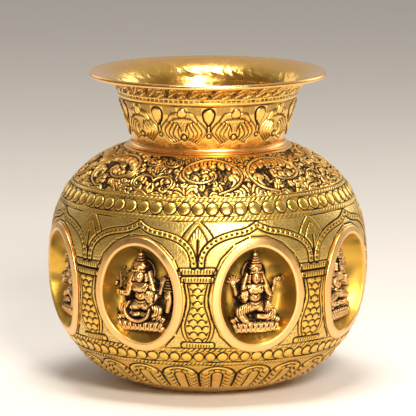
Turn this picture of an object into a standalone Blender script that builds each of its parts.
"""Brass kalash: a squat sheet-brass pot with eight oval niches that hold cast figures.

Lengths are written in millimetres and turned into metres as each mesh is made. +Z is up, and
the origin is the middle of the flat base. A direction round the pot is an angle from -Y
towards +X, so a niche's own frame has x to the right, y up and z outwards.
"""
import math

import bmesh
import bpy
from mathutils import Matrix

MM = 0.001
WELD = 1e-7

# Driving dimensions.
BELLY_RADIUS = 101.1
BELLY_HEIGHT = 79.0
UPPER_SPAN = 80.0
UPPER_POWER = 2.6
LOWER_SPAN = 84.0
LOWER_POWER = 2.4
SHEET = 1.2
GAP = 0.3
LAP = 4.0
LOWER_SEAM = 28.0
UPPER_SEAM = 132.0
SEGMENTS = 40

SEAT_HEIGHT = 153.3
SEAT_RADIUS = 52.3
SPIGOT_RADIUS = 47.4
SPIGOT_TOP = 158.5

COLLAR_SHEET = 0.8
COLLAR_BOTTOM = SEAT_HEIGHT + GAP
NECK_RADIUS = SPIGOT_RADIUS + GAP + COLLAR_SHEET
CONE_START = 156.5
CONE_SLOPE = 0.30
FLARE_START = 187.0
FLARE_HEIGHT = 13.5
FLARE_REACH = 18.0
ROLL_RADIUS = 1.6
RIM_RADIUS = 75.9
RIM_TOP = 200.6
WIRE_RADIUS = 0.5
RING_WIDTH = 3.2
RING_HEIGHT = 3.0
RING_TOE = 0.5
RING_ANGLES = (0, 22, 45, 68, 90)

NICHES = 8
NICHE_HEIGHT = 71.0
CUP_SHEET = 1.0
CUP_FLOOR = 86.0
CUP_SIDES = 24
OPENING = (25.0, 31.2)
FLOOR_OVAL = (21.6, 28.0)
FLANGE_WIDTH = 5.4
FLANGE_TOP = GAP + CUP_SHEET
HOLE = (OPENING[0] + CUP_SHEET + 2 * GAP, OPENING[1] + CUP_SHEET + 2 * GAP)

# Rings of a cup's front from floor to flange, and of its back from flange to floor: an oval, how
# far the ring lies outside it, its share of the way from floor level to the belly, and its lift.
CUP_FRONT = [
    (FLOOR_OVAL, 0.0, 0.0, 0.0),
    (FLOOR_OVAL, 1.9, 0.14, 0.0),
    (OPENING, -0.4, 0.60, 0.0),
    (OPENING, 0.0, 1.0, FLANGE_TOP - GAP),
    (OPENING, 0.6, 1.0, FLANGE_TOP),
    (OPENING, FLANGE_WIDTH - 0.5, 1.0, FLANGE_TOP),
]
CUP_BACK = [
    (OPENING, FLANGE_WIDTH, 1.0, GAP),
    (OPENING, CUP_SHEET + GAP, 1.0, GAP),
    (OPENING, CUP_SHEET - 0.2, 0.60, -CUP_SHEET / 2),
    (FLOOR_OVAL, 2.5, 0.14, -CUP_SHEET),
    (FLOOR_OVAL, 0.3, 0.0, -CUP_SHEET),
]

# Heights at which the turned sheets' curves are sampled.
BOWL_LEVELS = (1.2, 4.0, 9.0, 17.0)
BELLY_LEVELS = (36.0, 46.0, 58.0, 72.0, 86.0, 99.0, 110.0, 119.0, 126.0)
SHOULDER_LEVELS = (138.0, 143.5, 148.0, 151.4)
COLLAR_LEVELS = (CONE_START, 172.0, 186.5, 191.5, 195.0, 197.5, 199.0)

# Slices of a figure from foot to crown: height from the niche's middle, half width, depth.
FIGURE_SLICES = [
    (-24.2, 11.0, 7.4), (-21.5, 14.4, 9.0), (-18.0, 13.4, 8.8), (-15.0, 16.4, 9.4),
    (-7.0, 8.8, 7.4), (-2.5, 6.4, 6.6), (5.0, 8.8, 6.6), (8.4, 3.6, 5.4),
    (10.8, 5.0, 7.4), (17.0, 5.4, 7.2), (22.6, 3.2, 5.6), (27.4, 1.2, 3.6),
]
# Shoulder, elbow and hand of each arm: sideways, up, and out from the niche's floor.
RAISED_ARM = [(6.0, 3.5, 4.6), (13.5, 1.0, 4.6), (15.5, 8.0, 4.6)]
LOWERED_ARM = [(7.5, 4.0, 4.6), (10.5, -3.5, 5.8), (9.5, -9.5, 7.2)]
ARM_RADII = (2.4, 2.2, 2.0)

RIVET_HEIGHTS = {"upper": 4.0, "lower": -19.0}
SHANK_RADIUS = 1.2
HEAD_RADIUS = 2.5
HEAD_RISE = 1.4
RIVET_HOLE_RADIUS = SHANK_RADIUS + GAP
BORE_DEPTH = 3.4


# Shared tools.

def clear_scene():
    for item in list(bpy.data.objects):
        bpy.data.objects.remove(item, do_unlink=True)


def brass(name, colour, roughness):
    material = bpy.data.materials.new(name)
    material.use_nodes = True
    shader = material.node_tree.nodes["Principled BSDF"]
    shader.inputs["Base Color"].default_value = (*colour, 1.0)
    shader.inputs["Roughness"].default_value = roughness
    shader.inputs["Metallic"].default_value = 1.0
    material.diffuse_color = (*colour, 1.0)
    return material


def finished_mesh(name, bm, material):
    """Turn a bmesh into a mesh with outward faces, smooth shading and one material."""
    bmesh.ops.recalc_face_normals(bm, faces=bm.faces)
    mesh = bpy.data.meshes.new(name)
    bm.to_mesh(mesh)
    bm.free()
    mesh.shade_smooth()
    mesh.set_sharp_from_angle(angle=math.radians(35))
    mesh.materials.append(material)
    return mesh


def add_object(name, mesh, parent=None, location=(0.0, 0.0, 0.0)):
    item = bpy.data.objects.new(name, mesh)
    bpy.context.scene.collection.objects.link(item)
    item.parent = parent
    item.location = location
    return item


def turned_mesh(name, profile, material, steps=SEGMENTS):
    """Spin a profile of (radius, height) points about Z; it is a loop, or starts on the axis."""
    bm = bmesh.new()
    verts = [bm.verts.new((radius * MM, 0.0, height * MM)) for radius, height in profile]
    edges = [bm.edges.new(pair) for pair in zip(verts, verts[1:])]
    if profile[0][0] > 0.0:
        edges.append(bm.edges.new((verts[-1], verts[0])))
    bmesh.ops.spin(bm, geom=verts + edges, cent=(0.0, 0.0, 0.0), axis=(0.0, 0.0, 1.0),
                   angle=2 * math.pi, steps=steps, use_merge=True)
    bmesh.ops.remove_doubles(bm, verts=bm.verts, dist=WELD)
    return finished_mesh(name, bm, material)


def lofted_mesh(name, rings, material):
    """Join rings of equally many (x, y, z) points with side faces and cap both ends."""
    bm = bmesh.new()
    loops = [[bm.verts.new([value * MM for value in point]) for point in ring] for ring in rings]
    for low, high in zip(loops, loops[1:]):
        for index in range(len(low)):
            after = (index + 1) % len(low)
            bm.faces.new((low[index], low[after], high[after], high[index]))
    bm.faces.new(reversed(loops[0]))
    bm.faces.new(loops[-1])
    return finished_mesh(name, bm, material)


def combined_mesh(name, mesh, others, operation):
    """Apply one Boolean per mesh in others to a mesh that several objects will share."""
    base = add_object("blank", mesh)
    tools = [add_object("tool", other) for other in others]
    for tool in tools:
        step = base.modifiers.new("combine", "BOOLEAN")
        step.operation = operation
        step.solver = "EXACT"
        step.object = tool
    graph = bpy.context.evaluated_depsgraph_get()
    result = bpy.data.meshes.new_from_object(base.evaluated_get(graph))
    result.name = name
    for item in [base, *tools]:
        bpy.data.objects.remove(item, do_unlink=True)
    return result


# Profiles of the shell.

def body_radius(height):
    """Outer radius of the body: one superellipse above the belly line and one below it."""
    rise = height - BELLY_HEIGHT
    span, power = (UPPER_SPAN, UPPER_POWER) if rise > 0 else (LOWER_SPAN, LOWER_POWER)
    return BELLY_RADIUS * (1 - abs(rise / span) ** power) ** (1 / power)


def wall_point(height, depth):
    """The point that lies the given depth inside the outer surface at this height."""
    step = 0.05
    slope = (body_radius(height + step) - body_radius(height - step)) / (2 * step)
    length = math.hypot(1.0, slope)
    return (body_radius(height) - depth / length, height + depth * slope / length)


def wall_points(heights, depth):
    return [wall_point(height, depth) for height in heights]


def neck_radius(height):
    """Outer radius of the collar: a cylinder, then a cone, then a quarter-ellipse flare."""
    cone = max(0.0, height - CONE_START) * CONE_SLOPE
    reach = min(1.0, max(0.0, height - FLARE_START) / FLARE_HEIGHT)
    return NECK_RADIUS + cone + FLARE_REACH * (1 - math.sqrt(1 - reach ** 2))


def neck_point(height, depth):
    step = 0.05
    slope = (neck_radius(height + step) - neck_radius(height - step)) / (2 * step)
    length = math.hypot(1.0, slope)
    return (neck_radius(height) - depth / length, height + depth * slope / length)


def arc(centre, radius, start, end, count):
    """Points on a circle in the profile plane, with the angles in degrees."""
    angles = [math.radians(start + (end - start) * index / (count - 1)) for index in range(count)]
    return [(centre[0] + radius * math.cos(a), centre[1] + radius * math.sin(a)) for a in angles]


# Sheet parts.

def make_lower_bowl():
    outside = [(body_radius(0.0), 0.0), *wall_points([*BOWL_LEVELS, LOWER_SEAM], 0.0)]
    lap_outside = wall_points([LOWER_SEAM, LOWER_SEAM + LAP], SHEET + GAP)
    lap_inside = wall_points([LOWER_SEAM + LAP, LOWER_SEAM], 2 * SHEET + GAP)
    inside = wall_points([LOWER_SEAM - LAP, *reversed(BOWL_LEVELS[1:])], SHEET)
    floor = [(outside[1][0] - SHEET, SHEET), (0.0, SHEET)]
    profile = [(0.0, 0.0), *outside, *lap_outside, *lap_inside, *inside, *floor]
    metal = brass("lower_bowl_brass", (0.80, 0.56, 0.22), 0.30)
    add_object("lower_bowl", turned_mesh("lower_bowl", profile, metal))


def niche_angle(number):
    """Angle of a niche, counted from one; the niches sit between the eight pillar lines."""
    return 2 * math.pi * (number - 0.5) / NICHES


def niche_matrix(number):
    """The niche's frame: x to the right as seen from outside, y up and z outwards."""
    turn = niche_angle(number)
    right = (math.cos(turn), math.sin(turn), 0.0)
    out = (math.sin(turn), -math.cos(turn), 0.0)
    frame = Matrix((right, (0.0, 0.0, 1.0), out)).transposed().to_4x4()
    frame.translation = (0.0, 0.0, NICHE_HEIGHT * MM)
    return frame


def oval(semi_axes, count=CUP_SIDES):
    turns = [2 * math.pi * index / count for index in range(count)]
    return [(semi_axes[0] * math.cos(turn), semi_axes[1] * math.sin(turn)) for turn in turns]


def make_niche_cutter():
    """Eight oval bars in one mesh, which cut the niche holes out of the belly."""
    bm = bmesh.new()
    for number in range(1, NICHES + 1):
        frame = niche_matrix(number)
        outline = oval(HOLE)
        ends = []
        for reach in (BELLY_RADIUS - 25.0, BELLY_RADIUS + 10.0):
            ring = [frame @ Matrix.Translation((x * MM, y * MM, reach * MM)) for x, y in outline]
            ends.append([bm.verts.new(place.translation) for place in ring])
        for index in range(CUP_SIDES):
            after = (index + 1) % CUP_SIDES
            bm.faces.new((ends[0][index], ends[0][after], ends[1][after], ends[1][index]))
        bm.faces.new(reversed(ends[0]))
        bm.faces.new(ends[1])
    cutter = add_object("niche_cutter", finished_mesh("niche_cutter", bm, None))
    cutter.hide_render = True
    cutter.display_type = "WIRE"
    return cutter


def make_belly_shell():
    heights = [LOWER_SEAM + GAP, *BELLY_LEVELS, UPPER_SEAM]
    profile = wall_points(heights, 0.0) + wall_points(reversed(heights), SHEET)
    metal = brass("belly_brass", (0.86, 0.66, 0.31), 0.28)
    belly = add_object("belly_shell", turned_mesh("belly_shell", profile, metal))
    holes = belly.modifiers.new("niche_holes", "BOOLEAN")
    holes.operation = "DIFFERENCE"
    holes.solver = "EXACT"
    holes.object = make_niche_cutter()


def make_shoulder_dome():
    edge = UPPER_SEAM + GAP
    spigot_inside = SPIGOT_RADIUS - SHEET
    outside = wall_points([edge, *SHOULDER_LEVELS], 0.0)
    seat = [(SEAT_RADIUS, SEAT_HEIGHT), (SPIGOT_RADIUS + 0.6, SEAT_HEIGHT)]
    spigot = [(SPIGOT_RADIUS, SEAT_HEIGHT + 0.6), (SPIGOT_RADIUS, SPIGOT_TOP),
              (spigot_inside, SPIGOT_TOP), (spigot_inside, SEAT_HEIGHT - 0.2)]
    under = SEAT_HEIGHT - SHEET
    under_seat = [(spigot_inside + SHEET, under), (SEAT_RADIUS - 0.4, under)]
    inside = wall_points([148.0, 143.5, UPPER_SEAM + LAP], SHEET)
    lap_inside = wall_points([edge, edge - LAP], 2 * SHEET + GAP)
    lap_outside = wall_points([edge - LAP, edge], SHEET + GAP)
    profile = outside + seat + spigot + under_seat + inside + lap_inside + lap_outside
    metal = brass("shoulder_brass", (0.78, 0.52, 0.19), 0.30)
    add_object("shoulder_dome", turned_mesh("shoulder_dome", profile, metal))


def roll_centre():
    return (RIM_RADIUS - ROLL_RADIUS, RIM_TOP - ROLL_RADIUS)


def make_collar():
    """Neck and flared mouth in one sheet; the edge curls out and under into an open roll."""
    heights = [COLLAR_BOTTOM, *COLLAR_LEVELS]
    outside = [neck_point(height, 0.0) for height in heights]
    roll_inside = arc(roll_centre(), ROLL_RADIUS - COLLAR_SHEET, 90, -165, 6)
    roll_outside = arc(roll_centre(), ROLL_RADIUS, -165, 90, 7)
    inside = [neck_point(height, COLLAR_SHEET) for height in reversed(heights)]
    profile = outside + roll_inside + roll_outside + inside
    metal = brass("collar_brass", (0.84, 0.61, 0.26), 0.26)
    add_object("collar", turned_mesh("collar", profile, metal))


def make_rim_wire():
    profile = arc(roll_centre(), WIRE_RADIUS, 0, 288, 5)
    metal = brass("rim_wire_brass", (0.75, 0.55, 0.25), 0.40)
    add_object("rim_wire", turned_mesh("rim_wire", profile, metal))


def make_neck_ring():
    """Hollow-faced ring that sits on the shoulder's flat seat and hugs the foot of the collar."""
    inner = NECK_RADIUS + GAP
    bottom = SEAT_HEIGHT + GAP
    outer = inner + RING_WIDTH
    top = bottom + RING_HEIGHT
    reach, drop = RING_WIDTH - RING_TOE, RING_HEIGHT - RING_TOE
    hollow = [(outer - reach * math.sin(math.radians(a)), top - drop * math.cos(math.radians(a)))
              for a in RING_ANGLES]
    profile = [(inner, bottom), (outer, bottom), *hollow, (inner, top)]
    metal = brass("neck_ring_brass", (0.80, 0.52, 0.28), 0.25)
    add_object("neck_ring", turned_mesh("neck_ring", profile, metal))


# Niche parts, each made once in the niche's own frame and shared by eight objects.

def surface_depth(x, y):
    """Distance of the belly's outer surface from the pot's axis plane, in the niche's frame."""
    return math.sqrt(body_radius(NICHE_HEIGHT + y) ** 2 - x ** 2)


def cup_ring(semi_axes, share, lift):
    """An oval ring whose level runs from the cup's floor (share 0) to the belly (share 1)."""
    ring = []
    for x, y in oval(semi_axes):
        level = CUP_FLOOR + (surface_depth(x, y) - CUP_FLOOR) * share + lift
        ring.append((x, y, level))
    return ring


def grown(semi_axes, amount):
    return (semi_axes[0] + amount, semi_axes[1] + amount)


def niche_cup_mesh():
    """A dished oval cup with a flat flange that lies on the belly, drilled for two rivets."""
    front = [cup_ring(grown(base, growth), share, lift) for base, growth, share, lift in CUP_FRONT]
    back = [cup_ring(grown(base, growth), share, lift) for base, growth, share, lift in CUP_BACK]
    metal = brass("niche_cup_brass", (0.78, 0.47, 0.16), 0.22)
    cup = lofted_mesh("niche_cup_blank", front + back, metal)
    drills = [rivet_drill(height, CUP_FLOOR - 4.0, CUP_FLOOR + 2.0)
              for height in RIVET_HEIGHTS.values()]
    return combined_mesh("niche_cup", cup, drills, "DIFFERENCE")


def rivet_drill(height, start, end):
    """A bar along the niche's z axis that cuts the clearance hole of a rivet."""
    rings = [[(x, y + height, level) for x, y in oval((RIVET_HOLE_RADIUS, RIVET_HOLE_RADIUS), 8)]
             for level in (start, end)]
    return lofted_mesh("rivet_drill", rings, None)


def figure_section(height, half_width, depth):
    """A D-shaped slice of the figure: flat at the back with slanted corners, round in front."""
    back = CUP_FLOOR + GAP
    rise = min(2.6, depth * 0.4)
    corner = [(-0.62 * half_width, height, back), (0.62 * half_width, height, back)]
    front = []
    for index in range(6):
        turn = math.pi * index / 5
        front.append((half_width * math.cos(turn), height,
                      back + rise + (depth - rise) * math.sin(turn) ** 0.8))
    return [*corner, *front]


def limb(points, radii, sides=5):
    """A bent bar through the points, with the given radius at each, as a closed mesh."""
    rings = []
    for index, (x, y, z) in enumerate(points):
        before = points[max(0, index - 1)]
        after = points[min(len(points) - 1, index + 1)]
        run = math.hypot(after[0] - before[0], after[1] - before[1])
        across = ((before[1] - after[1]) / run, (after[0] - before[0]) / run)
        ring = []
        for side in range(sides):
            turn = 2 * math.pi * (side + 0.5) / sides
            sway = radii[index] * math.cos(turn)
            ring.append((x + across[0] * sway, y + across[1] * sway, z + radii[index] * math.sin(turn)))
        rings.append(ring)
    return lofted_mesh("limb", rings, None)


def figure_arms():
    """Two arms on each side: the rear one raised, the front one bent to the lap."""
    arms = []
    for side in (-1, 1):
        for joints in (RAISED_ARM, LOWERED_ARM):
            arms.append(limb([(side * x, y, CUP_FLOOR + out) for x, y, out in joints], ARM_RADII))
    return arms


def figure_mesh():
    """A crowned figure seated cross-legged on a lotus, as stacked slices with four arms."""
    rings = [figure_section(*slice_size) for slice_size in FIGURE_SLICES]
    metal = brass("figure_brass", (0.66, 0.44, 0.20), 0.38)
    body = lofted_mesh("figure_blank", rings, metal)
    whole = combined_mesh("figure_solid", body, figure_arms(), "UNION")
    drills = [rivet_drill(height, CUP_FLOOR - 2.0, CUP_FLOOR + GAP + BORE_DEPTH)
              for height in RIVET_HEIGHTS.values()]
    return combined_mesh("figure", whole, drills, "DIFFERENCE")


def rivet_mesh():
    """A round-head rivet along its own z axis, with the end of the shank at z = 0."""
    head_face = -(BORE_DEPTH + CUP_SHEET + GAP)
    dome = [(HEAD_RADIUS * math.cos(math.radians(a)), head_face - HEAD_RISE * math.sin(math.radians(a)))
            for a in (0, 45)]
    profile = [(0.0, 0.0), (SHANK_RADIUS, 0.0), (SHANK_RADIUS, head_face), *dome,
               (0.0, head_face - HEAD_RISE)]
    return turned_mesh("rivet", profile, brass("rivet_brass", (0.72, 0.50, 0.22), 0.42), steps=8)


def make_niches():
    cup = niche_cup_mesh()
    figure = figure_mesh()
    rivet = rivet_mesh()
    shank_end = CUP_FLOOR + BORE_DEPTH
    for number in range(1, NICHES + 1):
        niche = add_object(f"niche_{number}", None)
        niche.matrix_world = niche_matrix(number)
        add_object(f"niche_cup_{number}", cup, niche)
        add_object(f"figure_{number}", figure, niche)
        for place, height in RIVET_HEIGHTS.items():
            spot = (0.0, height * MM, shank_end * MM)
            add_object(f"{place}_rivet_{number}", rivet, niche, spot)


def main():
    clear_scene()
    make_lower_bowl()
    make_belly_shell()
    make_shoulder_dome()
    make_collar()
    make_rim_wire()
    make_neck_ring()
    make_niches()


main()
